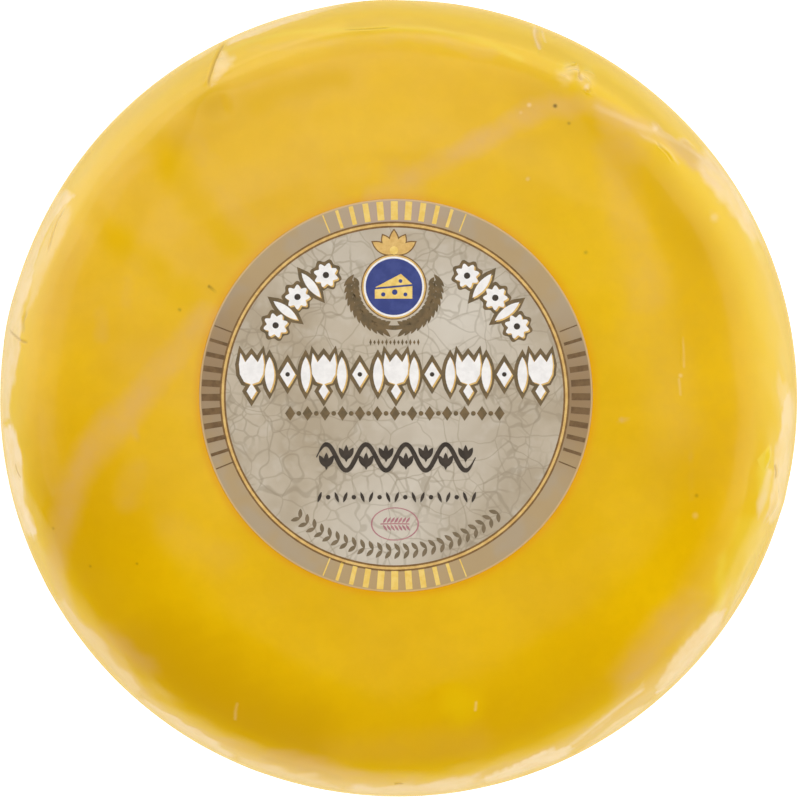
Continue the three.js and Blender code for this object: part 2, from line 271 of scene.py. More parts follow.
# Patches along the rim, by mask: corners as turn in degrees and depth from the outline, softness, strength
RIM_PATCHES = {
    # Painted reflections on the shoulder, paler where the wax has a film
    "cream": [
        ([(21.5, -1), (24, 1.4), (28, 3), (33, 3.3), (37, 2.9), (39, 1.2), (39.5, -1)], 0.5, 0.6),
        ([(23, -1), (26, 1), (33, 1.3), (39, 0.8), (39, -1)], 0.3, 1),
        ([(40.3, 0.9), (43.5, 2.2), (46.3, 3.1), (46.6, 3.6), (44.6, 3.2), (41, 1.7)], 0.15, 0.25),
        ([(95, -1), (98, 0.3), (102, 0.8), (107, 1.05), (115.3, 1.05), (116, 0.6), (115.8, -1)], 0.2, 1),
        ([(117.4, -1), (118.2, 0.5), (120, 0.75), (121.6, 0.2), (122, -1)], 0.2, 0.8),
        ([(148, -1), (148.2, 2.4), (151, 2), (153, 1.5), (157, 1.3), (162, 1.9), (168, 1.7), (171, 2.7),
          (176, 2.4), (183, 1.9), (183.2, -1)], 0.25, 0.82),
        ([(148.6, 1.8), (151, 3.1), (157, 3.3), (163, 2.9), (168, 2.4), (160, 1.6)], 0.3, 0.36),
        ([(184, 0.1), (184, 2), (188, 2.25), (193, 2), (200, 2.1), (200.6, 1), (199.8, 0.1)], 0.2, 1),
        ([(210.5, 0.2), (210.8, 1.9), (217, 1.8), (222, 1.8), (228.3, 1.5), (228.6, 0.3)], 0.25, 0.38),
        ([(229.2, 0.2), (229.6, 1.3), (236, 1.75), (241, 1.35), (245.2, 1.2), (245, 0.2)], 0.2, 0.65),
        ([(246, 0), (246.5, 1.3), (252, 1.7), (259, 1.5), (262, 1), (262, 0)], 0.4, 0.4),
        ([(262.5, 0.2), (264, 1.6), (270, 2), (276, 2.1), (282, 2.2), (282.6, 0.3)], 0.35, 0.62),
        ([(282.8, 0.3), (283, 1.4), (288, 2), (294, 2.1), (296.6, 1.5), (295.5, 0.3)], 0.2, 0.85),
        ([(297.2, -1), (299, 0.5), (303, 1), (307, 0.9), (309.3, 0.2), (309.5, -1)], 0.2, 1),
        ([(298.5, 1.6), (304, 1.9), (310.6, 2.6), (311.2, 3.4), (306, 2.9), (300, 2.3)], 0.2, 0.2),
        ([(310.8, 1), (313.2, 0.4), (313.4, 0.7), (311.2, 1.35)], 0.1, 1),
        ([(311.5, 0.2), (312, 1.8), (316, 2.8), (321, 3), (326.3, 2.9), (326.8, 1.2), (324, 0.2)], 0.25,
         0.7),
        ([(325, -1), (325, 0.3), (330, 0.9), (333, 0.5), (333, -1)], 0.2, 0.6),
        ([(342, 0.2), (341.8, 1.6), (345, 2.5), (350, 2.7), (356, 2.5), (360, 1.8), (361, 0.8), (359, 0.1)],
         0.2, 0.65),
        ([(358.5, 1), (359, 2.6), (362, 2.8), (363.5, 2.3), (362, 1.2)], 0.3, 0.3),
    ],
    # Pinkish painted reflections along the rim, partly a whitish film on the wax
    "bloom": [
        ([(32, 2.2), (38, 1.2), (42, 1.8), (46.6, 3.3), (47.2, 4.6), (44, 4.2), (38, 3.4)], 0.3, 0.8),
        ([(210, 0.2), (211, 2.2), (222, 2.3), (238, 2), (252, 3.4), (262, 3.6), (274, 2.6), (283, 2.4),
          (295, 2.6), (300, 2.8), (300, 0.2)], 0.6, 0.5),
        ([(246, 1.4), (250, 3.4), (258, 4.2), (264, 3.4), (266, 2), (256, 1.6)], 0.8, 0.6),
        ([(298, 0.8), (300, 2.2), (308, 3.2), (316, 3.4), (326.6, 3.1), (327, 0.3)], 0.35, 0.5),
        ([(306, 3), (308, 6), (313, 7.6), (320, 7.6), (326, 6.2), (327.5, 3.2), (318, 3.2)], 2.4, 0.6),
    ],
    "yellow": [
        ([(329, 1.5), (332, 4.5), (340, 6), (342, 2.5), (338, 0.2), (334, 0.3)], 0.6, 0.35),
        ([(342.5, 2.7), (345, 3.9), (350, 4.2), (351, 2.9)], 0.4, 0.8),
    ],
}

MASKS = ("bloom", "cream", "yellow", "lemon", "deep", "clear", "speck", "crease")
MARKS_FADE = (2.5, 11.0)  # heights over the widest place between which the marks of the upper side end
WALL_SOFTNESS = 1.0  # added to the softness of the rim's patches where they run down the wall
SMALL_MARK = 1.0  # reach below which a mark keeps its exact place, or nearly
THIN_LINE = 0.36  # half width below which a line needs a finer mesh
CRISP = 0.26  # softness below which a patch's edge needs a finer mesh

# Wobble of the marks' edges: lengths of its waves and how far they push
WOBBLES = [(9.0, 0.5), (5.0, 0.35), (2.6, 0.2), (1.3, 0.1)]
WAVES_PER_WOBBLE = 3
WOBBLE_SEED = 11
LOOSE = 0.6  # share of the wobble that most marks take
STEADY = 0.15  # and that small and sharp ones take


def each(marks):
    """The marks of every mask, each with its mask's name before it."""
    return [(name, *mark) for name, group in marks.items() for mark in group]


def from_axis(points):
    """Distance of points from the upright axis."""
    return np.hypot(points[:, 0], points[:, 1])


def plain_height(radius):
    share = np.minimum(radius / WHEEL_RADIUS, 1.0)
    return HALF_HEIGHT * (1 - share**ACROSS_POWER) ** (1 / UPRIGHT_POWER)


def on_plain_top(xy):
    """Points of the plain upper side over places seen from above."""
    xy = np.asarray(xy, float)
    return np.column_stack([xy, MIDDLE_Z + plain_height(from_axis(xy))])


def outward(points):
    radius = from_axis(points)
    rise = points[:, 2] - MIDDLE_Z
    across = (ACROSS_POWER / WHEEL_RADIUS) * (radius / WHEEL_RADIUS) ** (ACROSS_POWER - 1)
    up = (UPRIGHT_POWER / HALF_HEIGHT) * (np.abs(rise) / HALF_HEIGHT) ** (UPRIGHT_POWER - 1)
    share = across / np.maximum(radius, 1e-9)
    direction = np.column_stack([points[:, 0] * share, points[:, 1] * share, np.sign(rise) * up])
    return direction / np.linalg.norm(direction, axis=1)[:, None]


def to_plain_form(points):
    """Moves points along their ray from the cheese's middle onto its plain form."""
    rays = points - [0, 0, MIDDLE_Z]
    radius = from_axis(rays) / WHEEL_RADIUS
    rise = np.abs(rays[:, 2]) / HALF_HEIGHT
    scale = np.ones(len(points))
    for _ in range(NEWTON_STEPS):
        value = (scale * radius) ** ACROSS_POWER + (scale * rise) ** UPRIGHT_POWER - 1
        slope = (ACROSS_POWER * (scale * radius) ** ACROSS_POWER
                 + UPRIGHT_POWER * (scale * rise) ** UPRIGHT_POWER) / scale
        scale -= value / slope
    return rays * scale[:, None] + [0, 0, MIDDLE_Z]


def hump(distance, reach):
    """1 at no distance, fading smoothly to 0 at the reach."""
    share = np.clip(distance / reach, 0, 1)
    return (1 - share * share) ** 2


def unit_circle(count):
    """Points of the unit circle, evenly round it."""
    turn = np.arange(count) * 2 * math.pi / count
    return np.column_stack([np.cos(turn), np.sin(turn)])


def towards(degrees):
    """The unit step in a direction seen from above."""
    return np.array([math.cos(math.radians(degrees)), math.sin(math.radians(degrees))])


def smoothstep(value, start, end):
    share = np.clip((value - start) / (end - start), 0, 1)
    return share * share * (3 - 2 * share)


def smooth_line(points):
    """A Catmull-Rom line through points."""
    points = np.asarray(points, float)
    padded = np.vstack([2 * points[0] - points[1], points, 2 * points[-1] - points[-2]])
    line = []
    for i in range(len(points) - 1):
        p0, p1, p2, p3 = padded[i:i + 4]
        for t in np.linspace(0, 1, STEPS_PER_SPAN, endpoint=False):
            line.append(0.5 * (2 * p1 + (p2 - p0) * t + (2 * p0 - 5 * p1 + 4 * p2 - p3) * t**2
                               + (3 * p1 - p0 - 3 * p2 + p3) * t**3))
    line.append(points[-1])
    return np.array(line)


def distance_to_line(points, line):
    """Distance of each point to a line of points, and how far along the line that is, from 0 to 1."""
    best = np.full(len(points), 1e9)
    along = np.zeros(len(points))
    for i in range(len(line) - 1):
        a, b = line[i], line[i + 1]
        span = b - a
        t = np.clip(((points - a) @ span) / (span @ span), 0, 1)
        distance = np.linalg.norm(points - (a + t[:, None] * span), axis=1)
        nearer = distance < best
        best[nearer] = distance[nearer]
        along[nearer] = (i + t[nearer]) / (len(line) - 1)
    return best, along


def wobbled(points, share):
    """Points pushed about a little, so that the marks get uneven edges."""
    rng = np.random.default_rng(WOBBLE_SEED)
    moved = points.copy()
    for length, reach in WOBBLES:
        for _ in range(WAVES_PER_WOBBLE):
            direction = rng.normal(size=3)
            direction *= 2 * math.pi / length / np.linalg.norm(direction)
            push = rng.normal(size=3)
            wave = np.sin(points @ direction + rng.uniform(0, 2 * math.pi))
            moved += share * reach * wave[:, None] * push / np.linalg.norm(push)
    return moved


def inside_patch(places, corners):
    """Signed distance of flat places to the edge of a patch: positive inside."""
    x, y = places[:, 0], places[:, 1]
    inside = np.zeros(len(places), bool)
    corners = np.asarray(corners, float)
    closed = np.vstack([corners, corners[:1]])
    for (x0, y0), (x1, y1) in zip(closed[:-1], closed[1:]):
        crosses = (y0 > y) != (y1 > y)
        rise = y1 - y0 if y1 != y0 else 1e-9
        inside ^= crosses & (x < x0 + (y - y0) * (x1 - x0) / rise)
    distance = distance_to_line(places, closed)[0]
    return np.where(inside, distance, -distance)


def along_rim(points, turn):
    """Points as the way along the rim from a turn, and the depth in from the outline, both in millimetres."""
    angle = np.degrees(np.arctan2(points[:, 1], points[:, 0]))
    way = (angle - turn + 180) % 360 - 180
    return np.column_stack([np.radians(way) * WHEEL_RADIUS, WHEEL_RADIUS - from_axis(points)])


def inside_rim_patch(points, loose, corners):
    """Signed distance to the edge of a patch along the rim, and the depth in from the outline."""
    corners = np.array(corners, float)
    middle = corners[:, 0].mean()
    corners[:, 0] = np.radians(corners[:, 0] - middle) * WHEEL_RADIUS
    places = along_rim(points, middle)
    moved = along_rim(loose, middle)
    depth = places[:, 1] + smoothstep(places[:, 1], 0.3, 2.0) * (moved[:, 1] - places[:, 1])
    return inside_patch(np.column_stack([moved[:, 0], depth]), corners), depth


def on_form(places):
    return to_plain_form(on_plain_top(places))


def surface_line(points):
    return on_form(smooth_line(points))


def near_crease(points, line):
    """Distance of each point to a crease, and a share that fades to 0 towards the crease's ends."""
    distance, along = distance_to_line(points, line)
    return distance, np.clip(np.minimum(along, 1 - along) * 6, 0, 1)


crease_lines = [(surface_line(points), half_width, depth, lip, shade_darkness)
                for _, points, half_width, depth, lip, shade_darkness in CREASES]


def random_waves():
    rng = np.random.default_rng(UNEVEN_SEED)
    lengths = rng.uniform(*UNEVEN_LENGTHS, UNEVEN_COUNT)
    directions = rng.normal(size=(UNEVEN_COUNT, 3))
    directions /= np.linalg.norm(directions, axis=1)[:, None]
    turns = 2 * math.pi / lengths
    return directions * turns[:, None], rng.uniform(0, 2 * math.pi, UNEVEN_COUNT), UNEVEN_SLOPE / turns


uneven_waves = random_waves()


def uneven_relief(points, away):
    steps, shifts, heights = uneven_waves
    share = UNEVEN_UNDER_LABEL + (1 - UNEVEN_UNDER_LABEL) * away
    return share * (np.sin(points @ steps.T + shifts) @ heights)


def random_crinkles():
    rng = np.random.default_rng(CRINKLE_SEED)
    turns = rng.integers(*CRINKLE_TURNS, CRINKLE_COUNT) * rng.choice([-1, 1], CRINKLE_COUNT)
    across = 2 * math.pi / rng.uniform(*CRINKLE_LENGTHS, CRINKLE_COUNT)
    return turns, across, rng.uniform(0, 2 * math.pi, CRINKLE_COUNT), CRINKLE_SLOPE / across


crinkles = random_crinkles()


def crinkle_relief(points, radius, angle):
    """Fine folds that run along the rim, in patches."""
    turns, across, shifts, heights = crinkles
    slant = np.hypot(WHEEL_RADIUS - radius, points[:, 2] - MIDDLE_Z)
    phases = np.outer(angle, turns) + np.outer(slant, across) + shifts
    patches = 0.65 + 0.35 * np.sin(5 * angle + 1.0) * np.sin(3 * angle + 4.0 + 0.2 * slant)
    from_calm = np.abs((angle - CRINKLE_CALM_TOWARDS + math.pi) % (2 * math.pi) - math.pi)
    patches *= 1 - 0.85 * hump(from_calm, CRINKLE_CALM_REACH) ** 0.5
    return smoothstep(radius, CRINKLE_FROM, CRINKLE_FULL) * patches * (np.sin(phases) @ heights)


def ridge_relief(radius, angle):
    towards = (1 + np.cos(angle - RIDGE_STRONG_TOWARDS)) / 2
    strength = RIDGE_FAINTEST + (1 - RIDGE_FAINTEST) * towards**6
    return RIDGE_HEIGHT * strength * hump(np.abs(radius - RIDGE_RADIUS), RIDGE_WIDTH / 2)


def wave_relief(radius, angle):
    away = smoothstep(radius, LABEL_RADIUS, WHEEL_RADIUS * 0.8)
    return sum(away * height * np.sin(count * angle + turn) for count, height, turn in WAVES)


def flake_relief(points):
    total = np.zeros(len(points))
    for _, x, y, half_length, half_width, height, turn in FLAKES:
        middle = on_plain_top([(x, y)])[0]
        up = outward(middle[None])[0]
        direction = np.append(towards(turn), 0)
        along = direction - (direction @ up) * up
        along /= np.linalg.norm(along)
        across = np.cross(up, along)
        offset = points - middle
        reach = np.hypot((offset @ along) / half_length, (offset @ across) / half_width)
        total += height * hump(reach, 1.0) * (np.abs(offset @ up) < 3)
    return total


def relief(points):
    """How far the coating stands outside the plain form."""
    radius = from_axis(points)
    angle = np.arctan2(points[:, 1], points[:, 0])
    upper = points[:, 2] > MIDDLE_Z
    away = smoothstep(radius, LABEL_RADIUS, LABEL_RADIUS * 1.25)
    off_outline = smoothstep(np.abs(points[:, 2] - MIDDLE_Z), QUIET_BELOW, QUIET_ABOVE)
    total = uneven_relief(points, away) + crinkle_relief(points, radius, angle)
    for _, x, y, reach, height in SWELLINGS:
        total += upper * height * hump(from_axis(points - [x, y, 0]), reach)
    total = off_outline * (total + flake_relief(points))
    total += ridge_relief(radius, angle) + wave_relief(radius, angle)
    for line, half_width, depth, lip, _ in crease_lines:
        distance, ends = near_crease(points, line)
        total -= depth * ends * hump(distance, half_width)
        total += lip * ends * hump(np.abs(distance - half_width * 1.6), half_width)
    return total


def on_surface(points):
    moved = points + outward(points) * relief(points)[:, None]
    moved[:, 2] = np.maximum(moved[:, 2], 0)
    return moved


def quarter_profile(count):
    """Points of a quarter of the profile, from the axis to the widest place, closer towards the rim."""
    turn = np.linspace(0, math.pi / 2, 2000)
    radius = WHEEL_RADIUS * np.sin(turn) ** (2 / ACROSS_POWER)
    height = plain_height(radius)
    fineness = 0.6 + 0.9 * smoothstep(radius[1:], LABEL_RADIUS, 47)
    length = np.concatenate([[0], np.cumsum(fineness * np.hypot(np.diff(radius), np.diff(height)))])
    even = np.linspace(0, length[-1], count + 1)
    return np.interp(even, length, radius), np.interp(even, length, height)


def base_grid():
    """Vertices and faces of the plain form as rings round its axis."""
    low_r, low_h = quarter_profile(LOWER_RINGS)
    top_r, top_h = quarter_profile(UPPER_RINGS)
    radius = np.concatenate([low_r[1:], top_r[-2:0:-1]])
    height = np.concatenate([MIDDLE_Z - low_h[1:], MIDDLE_Z + top_h[-2:0:-1]])
    circle_points = unit_circle(WHEEL_SEGMENTS)
    rings = [np.column_stack([r * circle_points, np.full(WHEEL_SEGMENTS, h)]) for r, h in zip(radius, height)]
    poles = [(0, 0, MIDDLE_Z - HALF_HEIGHT), (0, 0, MIDDLE_Z + HALF_HEIGHT)]
    vertices = np.vstack(rings + [poles])
    count = len(radius)
    south, north = count * WHEEL_SEGMENTS, count * WHEEL_SEGMENTS + 1
    faces = []
    for i in range(WHEEL_SEGMENTS):
        j = (i + 1) % WHEEL_SEGMENTS
        faces.append((south, j, i))
        for k in range(count - 1):
            below, above = k * WHEEL_SEGMENTS, (k + 1) * WHEEL_SEGMENTS
            faces.append((below + i, below + j, above + j, above + i))
        last = (count - 1) * WHEEL_SEGMENTS
        faces.append((last + i, last + j, north))
    return vertices, faces


def detail_lines():
    """Lines over the surface near which the mesh is made finer."""
    lines = [line for line, *_ in crease_lines]
    for _, x, y, half_length, _, _, turn in FLAKES:
        step = half_length * towards(turn) * 0.7
        lines.append(on_form([(x, y) - step, (x, y) + step]))
    for _, corners, softness, _ in each(PATCH_MARKS):
        if softness < CRISP:
            lines.append(on_form(corners + corners[:1]))
    for _, line, half_width, _ in each(LINE_MARKS):
        if half_width < THIN_LINE:
            lines.append(surface_line(line))
    for _, x, y, reach, _ in each(ROUND_MARKS):
        if reach < SMALL_MARK:
            lines.append(on_form([(x - 0.1, y), (x + 0.1, y)]))
    return lines


def near_rim_edges(places):
    """Whether each place is close to the crisp edge of a patch along the rim."""
    near = np.zeros(len(places), bool)
    upper = places[:, 2] > MIDDLE_Z
    for _, corners, softness, _ in each(RIM_PATCHES):
        if softness < CRISP:
            near |= upper & (np.abs(inside_rim_patch(places, places, corners)[0]) < FINE_REACH / 2)
    return near


def refine(mesh):
    """Splits the faces near the fine details into smaller ones."""
    work = bmesh.new()
    work.from_mesh(mesh)
    lines = detail_lines()
    for level in range(FINE_LEVELS):
        places = np.array([vertex.co for vertex in work.verts])
        nearest = np.min([distance_to_line(places, line)[0] for line in lines], axis=0)
        near = nearest < FINE_REACH * (1 - 0.3 * level)
        if level == 0:
            near |= near_rim_edges(places)
        edges = [edge for edge in work.edges if near[edge.verts[0].index] and near[edge.verts[1].index]]
        bmesh.ops.subdivide_edges(work, edges=edges, cuts=1, use_grid_fill=True)
        work.verts.index_update()
    work.to_mesh(mesh)
    work.free()


def positions(mesh):
    flat = np.zeros(len(mesh.vertices) * 3)
    mesh.vertices.foreach_get("co", flat)
    return flat.reshape(-1, 3)


def colour_masks(points):
    """How strongly each kind of mark shows at each point, by the mark's name."""
    masks = {name: np.zeros(len(points)) for name in MASKS}
    upper = smoothstep(points[:, 2] - MIDDLE_Z, *MARKS_FADE)
    loose = wobbled(points, LOOSE)
    steady = wobbled(points, STEADY)

    def lay(name, values):
        masks[name] = np.maximum(masks[name], upper * values)

    for name, line, half_width, strength in each(LINE_MARKS):
        moved = steady if half_width < SMALL_MARK else loose
        lay(name, strength * hump(distance_to_line(moved, surface_line(line))[0], half_width))
    for name, x, y, reach, strength in each(ROUND_MARKS):
        moved = points if reach < SMALL_MARK else loose
        lay(name, strength * hump(from_axis(moved - [x, y, 0]), reach))
    for name, corners, softness, strength in each(PATCH_MARKS):
        lay(name, strength * smoothstep(inside_patch(steady[:, :2], corners), -softness, softness))
    for name, corners, softness, strength in each(RIM_PATCHES):
        inside, depth = inside_rim_patch(points, loose, corners)
        reach = softness + WALL_SOFTNESS * smoothstep(depth, 1.2, 0.0)
        lay(name, strength * smoothstep(inside, -reach, reach))
    # Painted shade along each crease
    for line, half_width, _, _, shade_darkness in crease_lines:
        distance, ends = near_crease(points, line)
        lay("crease", shade_darkness * ends * hump(distance, half_width * 1.1))
    return masks


def new_piece(name, mesh, material):
    mesh.materials.clear()
    mesh.materials.append(material)
    mesh.polygons.foreach_set("use_smooth", np.ones(len(mesh.polygons), bool))
    mesh.update()
    piece = bpy.data.objects.new(name, mesh)
    bpy.context.scene.collection.objects.link(piece)
    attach(piece, "root")
    return piece


def build_coating(material):
    vertices, faces = base_grid()
    mesh = bpy.data.meshes.new("coated_cheese")
    mesh.from_pydata(vertices.tolist(), [], faces)
    refine(mesh)
    plain = to_plain_form(positions(mesh))
    mesh.vertices.foreach_set("co", (on_surface(plain) * MM).ravel())
    for name, values in colour_masks(plain).items():
        layer = mesh.attributes.new(name, "FLOAT", "POINT")
        layer.data.foreach_set("value", values.astype(np.float32))
    piece = new_piece("coated_cheese", mesh, material)
    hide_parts("cheese_wheel")


def srgb(red, green, blue):
    """A colour for a shader, from its sRGB value."""
    def linear(value):
        share = value / 255
        return share / 12.92 if share <= 0.04045 else ((share + 0.055) / 1.055) ** 2.4
    return (linear(red), linear(green), linear(blue), 1.0)


class Nodes:
    """Short ways to add and join the nodes of one material, whose colour is laid tone over tone."""

    def __init__(self, name, tones=None):
        self.material = bpy.data.materials.new(name)
        self.material.use_nodes = True
        self.tree = self.material.node_tree
        self.shader = self.tree.nodes["Principled BSDF"]
        self.place = self.tree.nodes.new("ShaderNodeTexCoord").outputs["Object"]
        self.tones = {tone: srgb(*value) for tone, value in (tones or {}).items()}
        self.colour = None

    def join(self, source, target):
        if hasattr(source, "links"):
            self.tree.links.new(source, target)
        else:
            target.default_value = source

    def add(self, kind, *sources, **named):
        """A node with its settings (small letters) and its inputs, given in order or by name."""
        node = self.tree.nodes.new("ShaderNode" + kind)
        for name in filter(str.islower, named):
            setattr(node, name, named[name])
        for source, target in zip(sources, node.inputs):
            self.join(source, target)
        for name in named:
            if not name.islower():
                self.join(named[name], node.inputs[name.replace("_", " ")])
        return node

    def start(self, tone):
        self.colour = self.tones[tone]

    def lay(self, tone, share, strength=1.0):
        """Covers the colour so far with a tone, as far as a share says."""
        share = share if strength == 1.0 else self.times(share, strength)
        self.colour = self.mix(share, self.colour, self.tones[tone])

    def stretched(self, turn, scale, shift=(0, 0, 0)):
        """The place, turned about the upright axis and stretched, for streaks."""
        turned_by = (0, 0, math.radians(turn))
        node = self.add("Mapping", Vector=self.place, Location=shift, Rotation=turned_by, Scale=scale)
        return node.outputs["Vector"]

    def noise(self, scale, detail=3.0, roughness=0.5, vector=None, colour=False):
        vector = vector or self.place
        node = self.add("TexNoise", Scale=scale, Detail=detail, Roughness=roughness, Vector=vector)
        return node.outputs["Color" if colour else "Fac"]

    def mottle(self, grain, among=(0.35, 0.65), to=(0.0, 1.0), vector=None):
        """Noise of a grain (scale, detail, roughness), spread from a range of its values to another."""
        return self.span(self.noise(*grain, vector), *among, *to)

    def cells(self, scale, vector):
        """Distance to the nearest border between cells, small on the borders."""
        node = self.add("TexVoronoi", feature="DISTANCE_TO_EDGE", Scale=scale, Vector=vector)
        return node.outputs["Distance"]

    def warped(self, vector, scale, amount):
        """A vector pushed about by noise."""
        push = self.noise(scale, 2, 0.5, vector, colour=True)
        return self.add("VectorMath", push, (amount,) * 3, vector, operation="MULTIPLY_ADD").outputs["Vector"]

    def flat(self):
        """The place seen from above."""
        return self.add("VectorMath", self.place, (1, 1, 0), operation="MULTIPLY").outputs["Vector"]

    def radius_from(self, x, y):
        """Distance in metres, seen from above, to a place in millimetres."""
        return self.add("VectorMath", self.flat(), (x * MM, y * MM, 0), operation="DISTANCE").outputs["Value"]

    def northward(self):
        """The sine of the turn about the upright axis."""
        direction = self.add("VectorMath", self.flat(), operation="NORMALIZE").outputs["Vector"]
        return self.add("SeparateXYZ", direction).outputs["Y"]

    def span(self, value, low, high, to_low=0.0, to_high=1.0):
        """A value that runs smoothly between two numbers as another runs between two bounds."""
        return self.add("MapRange", interpolation_type="SMOOTHSTEP", Value=value, From_Min=low, From_Max=high,
                        To_Min=to_low, To_Max=to_high).outputs["Result"]

    def around(self, x, y, start, end, to=(0.0, 1.0)):
        """Runs from one number to another between two distances in millimetres from a place."""
        return self.span(self.radius_from(x, y), start * MM, end * MM, *to)

    def spot(self, x, y, reach):
        """1 at a place in millimetres, fading to 0 at the reach."""
        return self.around(x, y, reach, 0)

    def upright(self, start, end):
        """Runs from 0 to 1 between two heights in millimetres."""
        return self.span(self.add("SeparateXYZ", self.place).outputs["Z"], start * MM, end * MM)

    def mask(self, name):
        return self.add("Attribute", attribute_name=name).outputs["Fac"]

    def math(self, operation, first, second):
        return self.add("Math", first, second, operation=operation).outputs["Value"]

    def times(self, first, second):
        return self.math("MULTIPLY", first, second)

    def mix(self, share, first, second):
        return self.add("Mix", data_type="RGBA", Factor=share, A=first, B=second).outputs["Result"]

    def bump(self, grain, strength, distance, normal=None):
        """A normal roughened by noise of a grain, over another normal where one is given."""
        node = self.add("Bump", Height=self.noise(*grain), Strength=strength, Distance=distance)
        if normal:
            self.join(normal, node.inputs["Normal"])
        return node.outputs["Normal"]

    def set(self, **values):
        for name, value in values.items():
            self.join(value, self.shader.inputs[name.replace("_", " ")])


# The coating's tones as sRGB values, most of them named as the masks that lay them
COATING_TONES = {
    "base": (233, 184, 0),
    "mottled": (225, 175, 0),
    # a deeper yellow, laid both as the coating's own tone and as painted shade
    "deep": (203, 154, 0),
    # a brighter, clearer yellow: painted light on the lit side, along the rim and in the dent
    "lemon": (237, 197, 2),
    # painted shade: the darker, warmer line round the label's edge
    "warm": (226, 160, 2),
    # painted light: a brighter yellow for the sides, which get less light
    "wall": (244, 192, 6),
    # a pinkish pale tone for the haze on the wax, and along the rim for painted reflection
    "bloom": (220, 174, 134),
    # a pale tone for painted highlights and reflections, and for pale flakes
    "cream": (250, 222, 173),
    "yellow": (238, 205, 56),
    # painted shade in the creases and cracks
    "crease": (162, 118, 28),
    "speck": (110, 82, 20),
}
LABEL_EDGE_SHADE_REACH = 1.3  # of the warm, darker line round the label, painted shade at its edge
WALL_FADE = (40, 27)  # heights between which the coating takes the wall's tone, a brighter yellow painted as light on the sides
LIT_SIDE = (10, 45)  # the place towards which the upper side is painted a little clearer yellow, as painted light
LIT_FADE = (70, 25)  # distances from it between which that sets in
RIM_MIDDLE = (-1, -1)  # a little beside the axis, so that the painted light along the rim is wider at the upper right
RIM_FADE = (45.5, 50.5)  # distances from it between which the rim is painted a brighter, clearer yellow, as painted light
RIM_HEIGHTS = (24, 38)  # heights between which that sets in
HAZE_PLACE = (-18, 26, 52)  # middle and reach of the thin film of haze
HAZE_STREAKS = (-38, (0.2, 1, 1))  # direction in degrees and stretch


def coating_ground(nodes):
    """The bare coating: mottled yellow, with painted shade as a warmer, darker line round the label, and
    painted light that makes it brighter along the rim and on the wall.
    """
    nodes.start("base")
    nodes.lay("mottled", nodes.mottle((45, 3, 0.5)))
    nodes.lay("deep", nodes.mottle((420, 3, 0.6), to=(0, 0.12)))
    # Painted shade and deeper tone from the marks
    nodes.lay("deep", nodes.mask("deep"))
    # Painted shade round the label's edge
    nodes.lay("warm", nodes.around(LABEL_X, LABEL_Y, LABEL_RADIUS + LABEL_EDGE_SHADE_REACH, LABEL_RADIUS), 0.8)
    nodes.lay("wall", nodes.upright(*WALL_FADE), 0.8)
    # Painted light: clearer yellow towards the lit side and along the rim
    nodes.lay("lemon", nodes.around(*LIT_SIDE, *LIT_FADE), 0.15)
    nodes.lay("lemon", nodes.times(nodes.around(*RIM_MIDDLE, *RIM_FADE), nodes.upright(*RIM_HEIGHTS)), 0.75)


def coating_haze(nodes):
    """How thick the whitish haze is: a thin film at the upper left, and the whitish marks, which along the
    rim are partly painted reflection.
    """
    clouds = nodes.mottle((70, 3, 0.55), to=(0.09, 0.17))
    streaks = nodes.mottle((110, 2, 0.5), (0.4, 0.7), (0, 0.08), nodes.stretched(*HAZE_STREAKS))
    film = nodes.times(nodes.math("ADD", clouds, streaks), nodes.spot(*HAZE_PLACE))
    film = nodes.times(film, nodes.math("SUBTRACT", 1.0, nodes.mask("clear")))
    broken = nodes.mottle((210, 4, 0.6), (0.3, 0.68), (0.38, 0.58))
    return nodes.math("MAXIMUM", film, nodes.times(nodes.mask("bloom"), broken))


def coating_material():
    nodes = Nodes("yellow_coating", COATING_TONES)
    coating_ground(nodes)
    nodes.lay("bloom", coating_haze(nodes))
    flecked = nodes.mottle((240, 4, 0.6), (0.3, 0.6), (0.7, 1.0))
    # Marks over the ground: painted light, painted highlights and reflections, painted shade in creases, and
    # specks
    for name in ("lemon", "yellow", "cream", "crease", "speck"):
        nodes.lay(name, nodes.mask(name), flecked if name == "cream" else 1.0)
    normal = nodes.bump((1100, 3, 0.6), 0.08, 0.00008, nodes.bump((150, 2, 0.5), 0.1, 0.0006))
    nodes.set(Base_Color=nodes.colour, Roughness=nodes.mottle((160, 3, 0.6), (0.3, 0.7), (0.11, 0.17)))
    nodes.set(Subsurface_Weight=0.06, Subsurface_Radius=(1.0, 0.5, 0.1), Subsurface_Scale=0.003)
    nodes.set(Normal=normal, IOR=1.33)
    return nodes.material


# The paper's tones as sRGB values: its middle, its band, and a paler line along its edge
PAPER_TONES = {
    "middle": (189, 175, 153),
    "dim": (171, 155, 130),
    "pale": (209, 200, 185),
    "hair": (140, 126, 102),
    "band": (174, 148, 106),
    "worn": (170, 150, 120),
    "shaded": (138, 108, 72),
    "rosy": (180, 155, 135),
    "warm": (179, 148, 101),
    "edge": (222, 184, 124),
}
# Places of another tone on the middle and on the band: tone, place, reach, strength
MIDDLE_PLACES = [
    ("pale", 8, 11, 13, 0.9),
    ("pale", -2, -17, 13, 0.75),
    ("pale", -7, 18, 10, 0.5),
    ("pale", 4, -6, 16, 0.45),
]
BAND_PLACES = [
    ("shaded", 24 + LABEL_X, LABEL_Y, 14, 0.8),
    ("shaded", -23.5 + LABEL_X, 3.6 + LABEL_Y, 15.5, 0.72),
    ("rosy", LABEL_X, 24, 10, 0.9),
    ("warm", LABEL_X, -24, 10, 0.9),
]
# Hair lines as borders of cells: the cells' scale, the warp's scale and amount, the lines' fade
LARGE_HAIRS = (110, 130, 0.006, 0.014, 0.004)
MIDDLING_HAIRS = (230, 200, 0.003, 0.03, 0.01)
SMALL_HAIRS = (520, 400, 0.0012, 0.09, 0.03)


